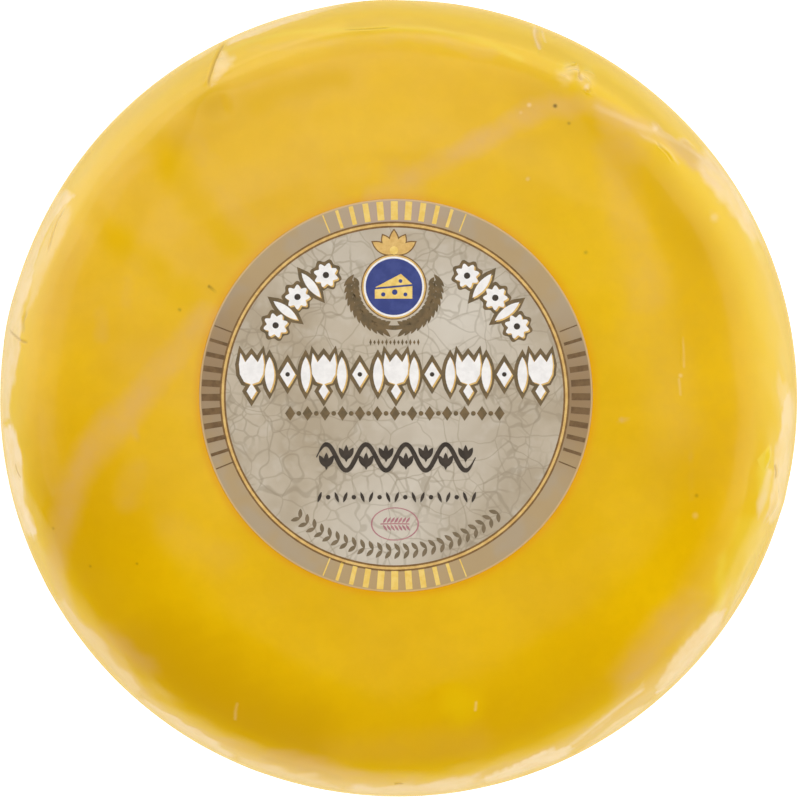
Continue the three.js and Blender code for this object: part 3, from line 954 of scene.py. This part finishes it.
def lay_places(nodes, places):
    for tone, x, y, reach, strength in places:
        nodes.lay(tone, nodes.spot(x, y, reach), strength)


def hair_lines(nodes, scale, warp_scale, warp_amount, start, end):
    """Thin lines along the borders of warped cells."""
    return nodes.span(nodes.cells(scale, nodes.warped(nodes.place, warp_scale, warp_amount)), start, end)


def paper_middle(nodes):
    """The mottled middle with hair lines of three sizes, the smallest in patches."""
    nodes.start("middle")
    nodes.lay("dim", nodes.mottle((120, 3, 0.55)))
    lay_places(nodes, MIDDLE_PLACES)
    nodes.lay("pale", nodes.mottle((420, 2, 0.5), (0.5, 0.75)), 0.3)
    patchy = nodes.mottle((150, 2, 0.5), (0.42, 0.6), vector=nodes.stretched(0, (1, 1, 1), (0.3, 0.1, 0)))
    nodes.lay("hair", hair_lines(nodes, *LARGE_HAIRS), 0.42)
    nodes.lay("hair", hair_lines(nodes, *MIDDLING_HAIRS), 0.34)
    nodes.lay("hair", nodes.times(hair_lines(nodes, *SMALL_HAIRS), patchy), 0.42)
    return nodes.colour


def paper_band(nodes):
    """The darker band, shaded beside its bars."""
    nodes.start("band")
    nodes.lay("worn", nodes.mottle((200, 2, 0.5), (0.4, 0.62)))
    lay_places(nodes, BAND_PLACES)
    return nodes.colour


def paper_material():
    """Parchment-coloured paper: a darker band round a mottled middle, and a paler line along the edge."""
    nodes = Nodes("label_paper", PAPER_TONES)
    on_band = nodes.around(LABEL_X + RING_X, LABEL_Y + RING_Y, RING_MIDDLE - 0.05, RING_MIDDLE + 0.05)
    nodes.colour = nodes.mix(on_band, paper_middle(nodes), paper_band(nodes))
    nodes.lay("edge", nodes.around(LABEL_X, LABEL_Y, LABEL_RADIUS - 0.3, LABEL_RADIUS - 0.1), 0.7)
    nodes.set(Base_Color=nodes.colour, Roughness=nodes.mottle((500, 2, 0.5), (0.3, 0.7), (0.46, 0.58)))
    nodes.set(Normal=nodes.bump((2600, 3, 0.6), 0.15, 0.00004), IOR=1.45)
    return nodes.material


def on_label(xy, height):
    """Places on the label, from its middle, at a height over its upper face."""
    middle = np.asarray(xy, float) + [LABEL_X, LABEL_Y]
    top = on_surface(on_plain_top(middle))
    top[:, 2] += LABEL_TOP + height
    return top


def build_label(material):
    """A disc whose two faces follow the cheese, with a slightly rounded upper edge."""
    segments = LABEL_SEGMENTS
    radius = np.linspace(0, LABEL_RADIUS - EDGE_ROUNDING, LABEL_RINGS)[1:]
    radius = np.append(radius, [LABEL_RADIUS - EDGE_STEP, LABEL_RADIUS])
    drop = np.zeros(len(radius))
    drop[-2:] = [EDGE_STEP, EDGE_ROUNDING]
    circle_points = unit_circle(segments)
    top = [on_label([(0, 0)], 0)]
    under = [on_label([(0, 0)], -LABEL_TOP - LABEL_SINK)]
    for r, d in zip(radius, drop):
        top.append(on_label(r * circle_points, -d))
        under.append(on_label(r * circle_points, -LABEL_TOP - LABEL_SINK))
    vertices = np.vstack(top + under)
    count = len(vertices) // 2
    faces = []
    for i in range(segments):
        j = (i + 1) % segments
        faces.append((0, 1 + i, 1 + j))
        faces.append((count, count + 1 + j, count + 1 + i))
        for k in range(len(radius) - 1):
            inner, outer = 1 + k * segments, 1 + (k + 1) * segments
            faces.append((inner + i, outer + i, outer + j, inner + j))
            faces.append((count + inner + j, count + outer + j, count + outer + i, count + inner + i))
        last = 1 + (len(radius) - 1) * segments
        faces.append((last + j, last + i, count + last + i, count + last + j))
    mesh = bpy.data.meshes.new("paper_label")
    mesh.from_pydata((vertices * MM).tolist(), [], faces)
    piece = new_piece("paper_label", mesh, material)
    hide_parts("label")


# The label's print, in millimetres from the label's middle: a ring, groups of bars outside it, and ornaments
RING_X = -0.18
RING_Y = -0.13
RING_MIDDLE = 22.47
RING_WIDTH = 0.8
RING_GOLD_WIDTH = 0.32
BAR_INNER = 22.95
BAR_OUTER = 25.4
BAR_STEP = 4.33
BAR_WIDTHS = (0.92, 0.88, 0.76, 0.6, 0.42, 0.17)
DARK_BAR_GROUPS = (-0.4, 180.6)
LIGHT_BAR_GROUPS = (90.5, 269.6)
OUTLINE_MARGIN = 0.5
SHADOW_SHIFT = (0.17, -0.17)

# Inks: colour, second colour that it varies to, and which layer it is printed in
INKS = {
    "brown": ((94, 78, 50), (112, 90, 56), 1),
    "bars": ((98, 72, 40), (114, 86, 50), 1),
    "lines": ((112, 80, 34), (128, 94, 48), 1),
    "taupe": ((108, 92, 66), (122, 104, 78), 1),
    "yellow": ((230, 190, 84), (236, 202, 108), 1),
    "pink": ((164, 108, 114), (178, 122, 124), 1),
    "gold": ((206, 162, 88), (222, 184, 108), 2),
    "white": ((232, 228, 224), (242, 238, 234), 3),
    "navy": ((44, 56, 118), (54, 66, 128), 4),
    "dark": ((50, 42, 34), (62, 52, 42), 4),
    "gilt": ((226, 188, 92), (240, 208, 120), 5),
    "holes": ((44, 56, 118), (54, 66, 128), 6),
}
LAYER_HEIGHT = 0.014
LAYER_STEPS = (0.0, 0.002, 0.004)
INK_SINK = 0.03
LEAF_STEPS = 9
ROSETTE_STEPS = 64


def circle(x, y, radius, count=14):
    return radius * unit_circle(count) + [x, y]


def turned(outline, degrees, x=0.0, y=0.0):
    """An outline turned about its own origin and then moved."""
    angle = math.radians(degrees)
    rotation = np.array([[math.cos(angle), math.sin(angle)], [-math.sin(angle), math.cos(angle)]])
    return np.asarray(outline, float) @ rotation + [x, y]


def leaf(length, width):
    """An upright leaf, pointed at both ends."""
    share = np.linspace(0, 1, LEAF_STEPS)
    side = width / 2 * np.sin(math.pi * share) ** 0.8
    up = length * (share - 0.5)
    return np.vstack([np.column_stack([side, up]), np.column_stack([-side, up])[-2:0:-1]])


def lozenge(width, height):
    return np.array([(0, -height / 2), (width / 2, 0), (0, height / 2), (-width / 2, 0)])


def rosette(radius, petals, depth=0.14):
    turn = np.arange(ROSETTE_STEPS) * 2 * math.pi / ROSETTE_STEPS
    reach = radius * (1 - depth + depth * np.cos(petals * turn))
    return reach[:, None] * unit_circle(ROSETTE_STEPS)


def tulip(height):
    """A cup of three pointed petals."""
    half = [(0.24, -0.42), (0.37, -0.18), (0.4, 0.14), (0.35, 0.5), (0.2, 0.2)]
    right = [(0, -0.5)] + half + [(0, 0.46)]
    left = [(-x, y) for x, y in reversed(half)]
    return np.array(right + left) * height


def grown(outline, margin):
    """The outline moved outwards all round by a margin."""
    outline = np.asarray(outline, float)
    before = outline - np.roll(outline, 1, axis=0)
    after = np.roll(outline, -1, axis=0) - outline
    sides = [np.column_stack([step[:, 1], -step[:, 0]]) / np.linalg.norm(step, axis=1)[:, None]
             for step in (before, after)]
    middle = sides[0] + sides[1]
    length = np.maximum(np.linalg.norm(middle, axis=1), 1e-6)
    middle /= length[:, None]
    corner = np.clip(np.sum(middle * sides[0], axis=1), 0.5, 1)
    return outline + middle * (margin / corner)[:, None]


def stroke(path, half_width):
    """The outline of a line drawn along a path, with a half width for each point."""
    path = np.asarray(path, float)
    step = np.gradient(path, axis=0)
    side = np.column_stack([-step[:, 1], step[:, 0]]) / np.linalg.norm(step, axis=1)[:, None]
    reach = np.broadcast_to(half_width, len(path))[:, None] * side
    return np.vstack([path - reach, (path + reach)[::-1]])


def arc(radius, start, end, count, x, y):
    turn = np.radians(np.linspace(start, end, count))
    return np.column_stack([x + radius * np.cos(turn), y + radius * np.sin(turn)])


def row(count, pitch, shift=0.0):
    """The numbers and the places of the members of a centred row."""
    return [(i, (i - (count - 1) / 2) * pitch + shift) for i in range(count)]


def signed_area(outline):
    x, y = outline[:, 0], outline[:, 1]
    return 0.5 * np.sum(x * np.roll(y, -1) - y * np.roll(x, -1))


class Ink:
    """Thin closed slabs of one ink, gathered into one piece that lies on the label."""

    def __init__(self, name):
        self.name = name
        first, second, layer = INKS[name]
        self.colours = (first, second)
        self.height = LAYER_HEIGHT * layer
        self.xy = []
        self.heights = []
        self.faces = []
        self.shapes = 0

    def add(self, outline):
        outline = np.asarray(outline, float)
        if signed_area(outline) < 0:
            outline = outline[::-1]
        start, count = len(self.xy), len(outline)
        height = self.height + LAYER_STEPS[self.shapes % len(LAYER_STEPS)]
        self.shapes += 1
        self.xy.extend(outline.tolist() * 2)
        self.heights.extend([height] * count + [-INK_SINK] * count)
        for corners in tessellate_polygon([[Vector((x, y, 0)) for x, y in outline]]):
            if signed_area(outline[list(corners)]) < 0:
                corners = corners[::-1]
            self.faces.append([start + i for i in corners])
            self.faces.append([start + count + i for i in reversed(corners)])
        for i in range(count):
            j = (i + 1) % count
            self.faces.append([start + count + i, start + count + j, start + j, start + i])

    def add_ring(self, x, y, radius, width, count=180, squash=1.0):
        """A closed ring, as quads between its inner and its outer edge."""
        start = len(self.xy)
        for reach in (radius - width / 2, radius + width / 2):
            edge = [reach, squash * reach] * unit_circle(count) + [x, y]
            self.xy.extend(edge.tolist() * 2)
            self.heights.extend([self.height] * count + [-INK_SINK] * count)
        inner, inner_low, outer, outer_low = (start + k * count for k in range(4))
        for i in range(count):
            j = (i + 1) % count
            self.faces.append([inner + i, outer + i, outer + j, inner + j])
            self.faces.append([inner_low + j, outer_low + j, outer_low + i, inner_low + i])
            self.faces.append([outer_low + i, outer_low + j, outer + j, outer + i])
            self.faces.append([inner_low + j, inner_low + i, inner + i, inner + j])

    def build(self):
        mesh = bpy.data.meshes.new("print_" + self.name)
        places = on_label(self.xy, 0)
        places[:, 2] += self.heights
        mesh.from_pydata((places * MM).tolist(), [], self.faces)
        piece = new_piece("print_" + self.name, mesh, ink_material(self.name, *self.colours))
        mesh.polygons.foreach_set("use_smooth", np.zeros(len(mesh.polygons), bool))


def ink_material(name, first, second):
    nodes = Nodes("ink_" + name, {"first": first, "second": second})
    nodes.start("first")
    nodes.lay("second", nodes.mottle((900, 3, 0.6)))
    nodes.set(Base_Color=nodes.colour, Roughness=nodes.mottle((700, 2, 0.5), (0.3, 0.7), (0.42, 0.54)))
    nodes.set(Normal=nodes.bump((2600, 3, 0.6), 0.12, 0.00004), IOR=1.45)
    return nodes.material


def print_ring(inks):
    inks["lines"].add_ring(RING_X, RING_Y, RING_MIDDLE, RING_WIDTH)
    inks["gold"].add_ring(RING_X, RING_Y, RING_MIDDLE, RING_GOLD_WIDTH)


def print_bars(inks):
    for ink, groups in (("bars", DARK_BAR_GROUPS), ("yellow", LIGHT_BAR_GROUPS)):
        for middle in groups:
            for i in range(1 - len(BAR_WIDTHS), len(BAR_WIDTHS)):
                half = BAR_WIDTHS[abs(i)] / 2
                bar = [(BAR_INNER, -half), (BAR_OUTER, -half), (BAR_OUTER, half), (BAR_INNER, half)]
                inks[ink].add(turned(bar, middle + i * BAR_STEP))


def outlined(inks, outline, backing=None):
    """A white shape with a brown outline round it and a gold edge under it."""
    inks["brown"].add(grown(outline, OUTLINE_MARGIN) if backing is None else backing)
    inks["gold"].add(np.asarray(outline) + SHADOW_SHIFT)
    inks["white"].add(outline)


def print_frieze(inks):
    """The broad white band of tulips, leaves and lozenges across the middle."""
    level = 2.75
    for i, x in row(17, 2.36):
        if i % 4 == 0:
            outlined(inks, tulip(4.1) + [x, level + 0.75])
            outlined(inks, lozenge(1.3, 2.1) + [x, level - 2.2])
        elif i % 4 == 2:
            outlined(inks, lozenge(2.0, 3.3) + [x, level])
            inks["dark"].add(circle(x, level, 0.3))
        else:
            outlined(inks, leaf(4.6, 1.25) + [x, level])


def print_side_garlands(inks):
    """Rosettes and leaves along the arc at the upper left and the upper right."""
    for middle in (135.0, 44.5):
        for i in range(-2, 3):
            angle = middle + i * 7.4
            x, y = 18.2 * towards(angle)
            if i % 2 == 0:
                backing = rosette(1.62 + OUTLINE_MARGIN, 8, 0.09)
                outlined(inks, turned(rosette(1.62, 8), angle, x, y), turned(backing, angle, x, y))
                inks["dark"].add(circle(x, y, 0.42))
            else:
                outlined(inks, turned(leaf(4.0, 1.1), angle - 90, x, y))


def print_roundel(inks):
    """A navy disc with a piece of cheese, over two sprays of leaves and under a fan of gold petals."""
    x, y = -0.26, 14.2
    for ink, radius in (("lines", 4.3), ("gold", 4.15), ("white", 3.95), ("navy", 3.7)):
        inks[ink].add(circle(x, y, radius, 64))
    wedge_side = [(-2.5, -1.55), (2.4, -1.55), (2.4, 0.1), (-2.5, -0.35)]
    wedge_top = [(-2.5, -0.1), (2.4, 0.35), (0.9, 1.7)]
    inks["gilt"].add(np.array(wedge_side) + [x, y])
    inks["gilt"].add(np.array(wedge_top) + [x, y])
    for dx, dy, radius in ((-1.4, -1.0, 0.28), (0.1, -0.7, 0.36), (1.5, -1.0, 0.26), (0.85, 0.75, 0.25)):
        inks["holes"].add(circle(x + dx, y + dy, radius))
    for lean in range(-2, 3):
        petal = leaf(3.0 if lean % 2 == 0 else 2.5, 1.15) + [0, 1.75]
        inks["lines"].add(turned(grown(petal, 0.16), lean * 29, x, y + 4.1))
        inks["gold"].add(turned(petal, lean * 29, x, y + 4.1))
    inks["lines"].add(circle(x, y + 4.75, 0.72, 24))
    inks["gilt"].add(circle(x, y + 4.75, 0.55, 24))
    for side in (-1, 1):
        stem = arc(5.35, 270, 270 + side * 98, 26, x, y)
        inks["brown"].add(stroke(stem, np.linspace(0.3, 0.12, len(stem))))
        for i in range(2, len(stem), 2):
            along = 270 + side * 98 * i / (len(stem) - 1)
            for lean in (-36, 36):
                outer = lean * side > 0
                place = (5.95 if outer else 4.95) * towards(along + side * 4) + [x, y]
                inks["brown"].add(turned(leaf(2.1 if outer else 1.35, 0.6), along + lean, *place))


def print_dotted_line(inks):
    for i, x in row(13, 0.52, -0.2):
        inks["brown"].add(lozenge(0.34, 0.62 if i % 2 else 0.9) + [x, 6.95])


def print_chain(inks):
    """A row of small lozenges and dots under the frieze."""
    level = -2.35
    for i, x in row(25, 1.14, -0.15):
        inks["brown"].add(circle(x, level, 0.32) if i % 2 else lozenge(1.35, 1.95) + [x, level])


def print_vine(inks):
    """A dark running vine across the lower middle, with a leaf in each bend."""
    level, half_length, swing, bends = -8.1, 10.4, 1.7, 4
    x = np.linspace(-half_length, half_length, 120)
    turn = math.pi * bends * 2 * (x + half_length) / (2 * half_length)
    fade = np.clip((half_length - np.abs(x)) / 1.2, 0.25, 1)
    inks["dark"].add(stroke(np.column_stack([x, level + swing * np.sin(turn)]), 0.3 * fade))
    for i in range(bends * 2):
        place = -half_length + (i + 0.5) * half_length / bends
        up = 1 if i % 2 == 0 else -1
        for lean in (-28, 0, 28):
            tip = turned(leaf(2.3 if lean == 0 else 1.8, 0.72), lean)
            shifted = tip + [math.sin(math.radians(-lean)) * 1.1, 0.0]
            inks["dark"].add(shifted + [place, level - up * 0.5])


def print_beads(inks):
    """A fine row of dots and dashes under the vine."""
    level = -13.3
    for i, x in row(19, 1.12, 0.1):
        if i % 3 == 1:
            inks["dark"].add(circle(x, level, 0.3))
        else:
            inks["dark"].add(turned(leaf(1.5, 0.42), 20 if i % 3 else -20, x, level))


def print_oval(inks):
    """A thin pink oval with a small sprig."""
    x, y = -0.13, -16.8
    inks["pink"].add_ring(x, y, 3.05, 0.2, 72, squash=0.69)
    inks["pink"].add(stroke([(x - 1.9, y), (x, y + 0.04), (x + 1.9, y)], 0.08))
    for i in range(-3, 4):
        for side in (-1, 1):
            inks["pink"].add(turned(leaf(0.95, 0.3), -35 * side, x + i * 0.5 + 0.2, y + side * 0.5))


def print_lower_garland(inks):
    """Pairs of small leaves along the arc at the bottom."""
    steps = 25
    for i in range(steps):
        angle = 231 + i * 79 / (steps - 1)
        for side in (-1, 1):
            place = (20.35 + side * 0.48) * towards(angle)
            inks["taupe"].add(turned(leaf(1.35, 0.55), angle - 90 + side * -35, *place))


def build_print():
    inks = {name: Ink(name) for name in INKS}
    for draw in (print_ring, print_bars, print_frieze, print_side_garlands, print_roundel, print_dotted_line,
                 print_chain, print_vine, print_beads, print_oval, print_lower_garland):
        draw(inks)
    for ink in inks.values():
        ink.build()


# Camera and light. Distances of the camera and of the lights are in metres.
CAMERA_DISTANCE = 3.0
PHOTO_PIXELS = 800
OUTLINE_PIXELS = 398.2  # radius of the cheese in the photo
OUTLINE_SHIFT_PIXELS = 1.5
SENSOR_WIDTH = 36.0
LIGHTS_AIM = (0, 0, 0.03)
FLOOR_HALF = 4.0  # metres
FLOOR_GLOW = 0.8
FLOOR_FADE = (30, 53)  # distances from the middle between which the floor's glow sets in; it glows less under the cheese, a painted shadow round its foot
BOUNCE = 1.1
BOUNCE_FADE = (50, 170)
SHEET_DROP = 0.2  # of the sheet under the floor
ALL_BUT_GLOSSY = ("camera", "diffuse", "shadow", "transmission")
HORIZON = 1.2  # brightness of the surroundings level with the cheese
OVERHEAD = 0.06  # and above it

# The table as only the coating's reflections show it: colours near and far, before the cheese and behind it
TABLE_FOOT = (1.0, 0.8, 0.42, 1)
TABLE_FRONT_NEAR = (1.35, 1.25, 1.05, 1)
TABLE_FRONT_FAR = (0.42, 0.4, 0.36, 1)
TABLE_BACK_NEAR = (0.95, 0.88, 0.66, 1)
TABLE_BACK_FAR = (2.4, 2.3, 2.1, 1)
# Brighter places on it: place and reach in millimetres, strength and colour
TABLE_GLOWS = [
    ((120, 25), 105, 0.6, (2.5, 2.35, 2.1, 1)),
    ((-110, 62), 75, 0.7, (3.2, 3.0, 2.6, 1)),
]
# Dark card that stands beside the cheese, for its reflections only: turn, reach, heights and tone
DARK_CARD_TURN = (196, 322)
DARK_CARD_REACH = 190
DARK_CARD_HEIGHT = 150
DARK_CARD_TONE = 0.02


def add_camera():
    camera = bpy.data.objects.new("camera", bpy.data.cameras.new("camera"))
    camera.data.sensor_width = SENSOR_WIDTH
    half_view = WHEEL_RADIUS * MM / CAMERA_DISTANCE * (PHOTO_PIXELS / 2) / OUTLINE_PIXELS
    camera.data.lens = SENSOR_WIDTH / 2 / half_view
    camera.data.clip_end = 100
    pixel = 2 * half_view * CAMERA_DISTANCE / PHOTO_PIXELS
    shift = OUTLINE_SHIFT_PIXELS * pixel
    camera.location = (shift, -shift, MIDDLE_Z * MM + CAMERA_DISTANCE)
    bpy.context.scene.collection.objects.link(camera)
    bpy.context.scene.camera = camera


def add_softbox(name, place, width, height, radiance, glossy=True, diffuse=True):
    """A lit panel whose face has the given radiance."""
    light = bpy.data.lights.new(name, "AREA")
    light.shape = "RECTANGLE"
    light.size = width
    light.size_y = height
    light.energy = radiance * math.pi * width * height
    lamp = bpy.data.objects.new(name, light)
    lamp.location = place
    lamp.rotation_euler = (Vector(LIGHTS_AIM) - Vector(place)).to_track_quat("-Z", "Y").to_euler()
    lamp.visible_camera = False
    lamp.visible_glossy = glossy
    lamp.visible_diffuse = diffuse
    bpy.context.scene.collection.objects.link(lamp)


def on_circle(degrees, distance, height):
    return (*(distance * towards(degrees)), height)


def add_stage(name, vertices, faces, nodes, unseen_by):
    """An object that isn't part of the product, left out of some kinds of light ray."""
    mesh = bpy.data.meshes.new(name)
    mesh.from_pydata(np.asarray(vertices, float).tolist(), [], faces)
    mesh.materials.append(nodes.material)
    stage = bpy.data.objects.new(name, mesh)
    bpy.context.scene.collection.objects.link(stage)
    for kind in unseen_by:
        setattr(stage, "visible_" + kind, False)


def add_floor():
    """A pale lit table, with the light that it throws up given by a second sheet under it."""
    corners = np.array([(-1, -1, 0), (1, -1, 0), (1, 1, 0), (-1, 1, 0)]) * FLOOR_HALF
    face = [(0, 1, 2, 3)]
    nodes = Nodes("pale_floor")
    colour = nodes.mix(nodes.noise(3, 2), (0.9, 0.9, 0.9, 1), (0.93, 0.93, 0.93, 1))
    glow = nodes.around(0, 0, *FLOOR_FADE, (0.0, FLOOR_GLOW))
    nodes.set(Base_Color=colour, Roughness=0.8, Emission_Color=(1, 1, 1, 1), Emission_Strength=glow)
    add_stage("floor", corners, face, nodes, ("glossy", "diffuse", "shadow"))
    nodes = Nodes("bounce_sheet")
    glow = nodes.around(0, 0, *BOUNCE_FADE, (0.35 * BOUNCE, BOUNCE))
    nodes.set(Base_Color=(0.3, 0.3, 0.3, 1), Emission_Color=(1, 1, 1, 1), Emission_Strength=glow)
    add_stage("bounce_sheet", corners - [0, 0, SHEET_DROP * MM], face, nodes, ("camera", "glossy"))


def curved_strip(turn, low, high, steps=40):
    """Vertices and faces between two arcs, each given by its radius and height in millimetres."""
    angles = np.radians(np.linspace(*turn, steps))
    rows = [np.column_stack([radius * np.cos(angles), radius * np.sin(angles), np.full(steps, height)]) * MM
            for radius, height in (low, high)]
    faces = [(i, steps + i, steps + i + 1, i + 1) for i in range(steps - 1)]
    return np.vstack(rows), faces


def add_reflected_table():
    nodes = Nodes("reflected_table")
    away = nodes.radius_from(0, 0)
    front = nodes.mix(nodes.span(away, 100 * MM, 175 * MM), TABLE_FRONT_NEAR, TABLE_FRONT_FAR)
    back = nodes.mix(nodes.span(away, 80 * MM, 190 * MM), TABLE_BACK_NEAR, TABLE_BACK_FAR)
    colour = nodes.mix(nodes.span(nodes.northward(), -0.3, 0.2), front, back)
    for (x, y), reach, strength, glow in TABLE_GLOWS:
        colour = nodes.mix(nodes.times(nodes.spot(x, y, reach), strength), colour, glow)
    colour = nodes.mix(nodes.span(away, 60 * MM, 84 * MM), TABLE_FOOT, colour)
    nodes.set(Base_Color=(0, 0, 0, 1), Emission_Color=colour, Emission_Strength=1.0)
    disc = curved_strip((0, 360), (52, 0.3), (2000, 0.3), 120)
    add_stage("reflected_table", *disc, nodes, ALL_BUT_GLOSSY)


def add_dark_card():
    nodes = Nodes("dark_card")
    nodes.set(Base_Color=(DARK_CARD_TONE,) * 3 + (1,), Roughness=0.9)
    strip = curved_strip(DARK_CARD_TURN, (DARK_CARD_REACH, 0), (DARK_CARD_REACH, DARK_CARD_HEIGHT))
    add_stage("dark_card", *strip, nodes, ALL_BUT_GLOSSY)


def add_world():
    """An even studio that is brightest at the horizon."""
    world = bpy.data.worlds.new("studio")
    world.use_nodes = True
    tree = world.node_tree
    direction = tree.nodes.new("ShaderNodeTexCoord").outputs["Generated"]
    parts = tree.nodes.new("ShaderNodeSeparateXYZ")
    tree.links.new(direction, parts.inputs["Vector"])
    fade = tree.nodes.new("ShaderNodeMapRange")
    tree.links.new(parts.outputs["Z"], fade.inputs["Value"])
    for name, number in (("From Min", 0.0), ("From Max", 0.6), ("To Min", HORIZON), ("To Max", OVERHEAD)):
        fade.inputs[name].default_value = number
    tree.links.new(fade.outputs["Result"], tree.nodes["Background"].inputs["Strength"])
    tree.nodes["Background"].inputs["Color"].default_value = (1, 1, 1, 1)
    bpy.context.scene.world = world


def add_lights():
    add_softbox("back_softbox", (-0.05, 1.0, 1.05), 1.8, 1.7, 1.15, diffuse=False)
    add_softbox("right_panel", on_circle(12, 1.3, 0.35), 1.5, 0.6, 1.0, diffuse=False)
    add_softbox("left_panel", on_circle(165, 1.3, 0.3), 1.2, 0.5, 0.7, diffuse=False)
    add_softbox("top_fill", (0.05, 0.05, 1.5), 1.4, 1.4, 3.5, glossy=False)
    add_softbox("front_fill", (0, -1.0, 1.0), 1.2, 0.8, 0.3, glossy=False)


build_coating(coating_material())
build_label(paper_material())
build_print()
add_camera()
add_world()
add_lights()
add_floor()
add_reflected_table()
add_dark_card()
bpy.context.scene.view_settings.view_transform = "Standard"
bpy.context.scene.view_settings.look = "None"
